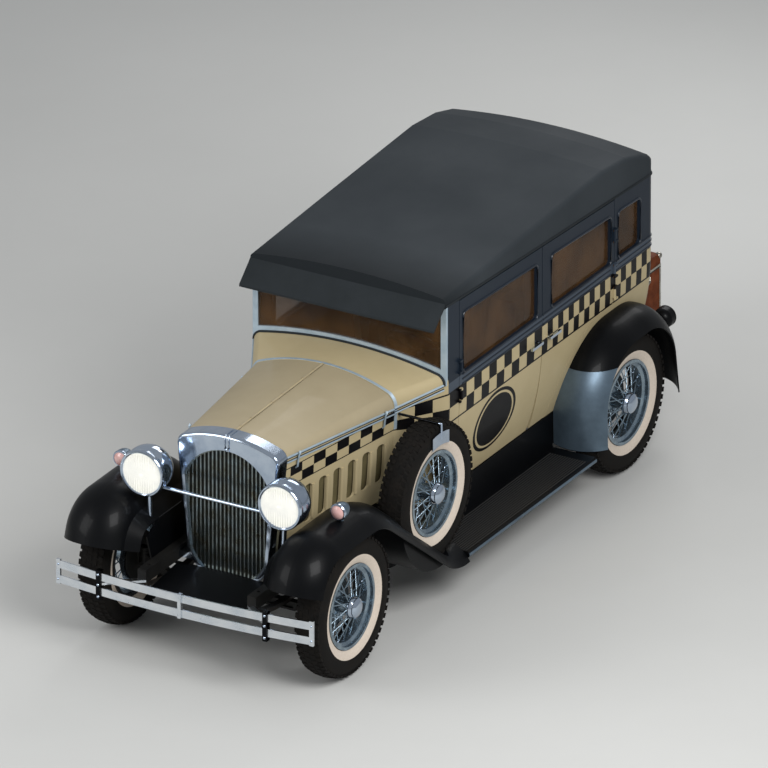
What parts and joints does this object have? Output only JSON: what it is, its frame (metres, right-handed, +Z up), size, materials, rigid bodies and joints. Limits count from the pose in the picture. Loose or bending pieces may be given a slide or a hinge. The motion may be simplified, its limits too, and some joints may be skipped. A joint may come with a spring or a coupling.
{
  "type": "taxi cab",
  "caption": "Vintage saloon taxi cab with a chequered waistband, wire wheels, side-mounted spare, louvred hood, rear trunk, opening doors and steered front wheels.",
  "frame": {"origin": "on the ground, midway along the overall length and on the centre plane", "axes": "+X forward along the car, +Y to the car's left, +Z up"},
  "size_m": [4.74, 1.7058, 1.8999],
  "materials": {
    "cream_paint": "gloss",
    "black_paint": "gloss",
    "slate_top": "coated fabric, satin",
    "chrome": "polished",
    "polished_steel": "polished",
    "frame_black": "satin",
    "iron": "cast",
    "spring_steel": "oiled",
    "tyre": "moulded rubber",
    "glass": "clear",
    "seat_leather": "worn satin",
    "trunk_leather": "satin",
    "floor_wood": "matt",
    "dash_wood": "satin",
    "black_bakelite": "gloss"
  },
  "bodies": {
    "chassis": {"frame_rails": "frame_black", "cross_members": "frame_black", "engine": "iron", "exhaust": "iron", "front_axle": "frame_black", "rear_axle": "frame_black", "leaf_springs": "spring_steel", "radiator_shell": "chrome", "radiator_core": "frame_black", "grille": "chrome", "hood_sides": "cream_paint", "cowl": "cream_paint", "windshield_frame": "chrome", "fixed_glass": "glass", "body_shell": "cream_paint", "roof": "slate_top", "visor": "slate_top", "floor": "floor_wood", "dashboard": "dash_wood", "steering_column": "frame_black", "front_seat": "seat_leather", "rear_seat": "seat_leather", "front_fenders": "black_paint", "rear_fenders": "black_paint", "gravel_guards": "polished_steel", "running_boards": "black_paint", "front_bumper": "chrome", "headlamps": "chrome", "headlamp_lenses": "glass", "headlamp_bar": "chrome", "fender_lamps": "polished_steel", "tail_lamps": "black_paint", "spare_tyre": "tyre", "spare_wheel": "polished_steel", "spare_mount": "chrome", "trunk_box": "trunk_leather", "trunk_rack": "frame_black"},
    "hood_lid_left": {"hood_left": "cream_paint"},
    "hood_lid_right": {"hood_right": "cream_paint"},
    "trunk_cover": {"trunk_lid": "trunk_leather"},
    "steered_left": {"knuckle_left": "frame_black"},
    "steered_right": {"knuckle_right": "frame_black"},
    "track_rod": {"tie_rod": "frame_black"},
    "hand_wheel": {"steering_wheel": "black_bakelite"},
    "front_left_door": {"door_front_left": "cream_paint", "door_glass_front_left": "glass"},
    "front_left_wheel": {"tyre_front_left": "tyre", "wheel_front_left": "polished_steel"},
    "front_right_door": {"door_front_right": "cream_paint", "door_glass_front_right": "glass"},
    "front_right_wheel": {"tyre_front_right": "tyre", "wheel_front_right": "polished_steel"},
    "rear_left_door": {"door_rear_left": "cream_paint", "door_glass_rear_left": "glass"},
    "rear_left_wheel": {"tyre_rear_left": "tyre", "wheel_rear_left": "polished_steel"},
    "rear_right_door": {"door_rear_right": "cream_paint", "door_glass_rear_right": "glass"},
    "rear_right_wheel": {"tyre_rear_right": "tyre", "wheel_rear_right": "polished_steel"}
  },
  "joints": [
    {"name": "steer_left", "type": "hinge", "parent": "chassis", "child": "steered_left", "pos_m": [1.75, 0.586, 0.423], "axis": [0, 0, 1], "range_deg": [-25, 25]},
    {"name": "steer_right", "type": "hinge", "parent": "chassis", "child": "steered_right", "pos_m": [1.75, -0.586, 0.423], "axis": [0, 0, 1], "range_deg": [-25, 25]},
    {"name": "spin_front_left", "type": "hinge", "parent": "steered_left", "child": "front_left_wheel", "pos_m": [1.75, 0.711, 0.423], "axis": [0, 1, 0], "continuous": true},
    {"name": "spin_rear_left", "type": "hinge", "parent": "chassis", "child": "rear_left_wheel", "pos_m": [-1.41, 0.711, 0.423], "axis": [0, 1, 0], "continuous": true},
    {"name": "spin_front_right", "type": "hinge", "parent": "steered_right", "child": "front_right_wheel", "pos_m": [1.75, -0.711, 0.423], "axis": [0, 1, 0], "continuous": true},
    {"name": "spin_rear_right", "type": "hinge", "parent": "chassis", "child": "rear_right_wheel", "pos_m": [-1.41, -0.711, 0.423], "axis": [0, 1, 0], "continuous": true},
    {"name": "tie_rod_pivot", "type": "hinge", "parent": "steered_left", "child": "track_rod", "pos_m": [1.6, 0.586, 0.35], "axis": [0, 0, 1], "range_deg": [-25, 25]},
    {"name": "steering_wheel_turn", "type": "hinge", "parent": "chassis", "child": "hand_wheel", "pos_m": [0.24, 0.345, 1.305], "axis": [-0.8192, 0, 0.5736], "range_deg": [-275, 275]},
    {"name": "front_left_door_hinge", "type": "hinge", "parent": "chassis", "child": "front_left_door", "pos_m": [0.286, 0.65, 0.9], "axis": [0, 0, -1], "range_deg": [0, 70]},
    {"name": "rear_left_door_hinge", "type": "hinge", "parent": "chassis", "child": "rear_left_door", "pos_m": [-1.476, 0.65, 0.9], "axis": [0, 0, 1], "range_deg": [0, 70]},
    {"name": "front_right_door_hinge", "type": "hinge", "parent": "chassis", "child": "front_right_door", "pos_m": [0.286, -0.65, 0.9], "axis": [0, 0, 1], "range_deg": [0, 70]},
    {"name": "rear_right_door_hinge", "type": "hinge", "parent": "chassis", "child": "rear_right_door", "pos_m": [-1.476, -0.65, 0.9], "axis": [0, 0, -1], "range_deg": [0, 70]},
    {"name": "hood_left_hinge", "type": "hinge", "parent": "chassis", "child": "hood_lid_left", "pos_m": [1.7197, 0, 1.338], "axis": [0.9998, 0, -0.0215], "range_deg": [0, 70]},
    {"name": "hood_right_hinge", "type": "hinge", "parent": "chassis", "child": "hood_lid_right", "pos_m": [1.7197, 0, 1.338], "axis": [-0.9998, 0, 0.0215], "range_deg": [0, 70]},
    {"name": "trunk_lid_hinge", "type": "hinge", "parent": "chassis", "child": "trunk_cover", "pos_m": [-2.054, 0, 0.835], "axis": [0, 1, 0], "range_deg": [0, 80]}
  ],
  "couplings": [
    {"joint": "steer_right", "follows": "steer_left", "ratio": 1},
    {"joint": "tie_rod_pivot", "follows": "steer_left", "ratio": -1},
    {"joint": "steering_wheel_turn", "follows": "steer_left", "ratio": 11}
  ]
}
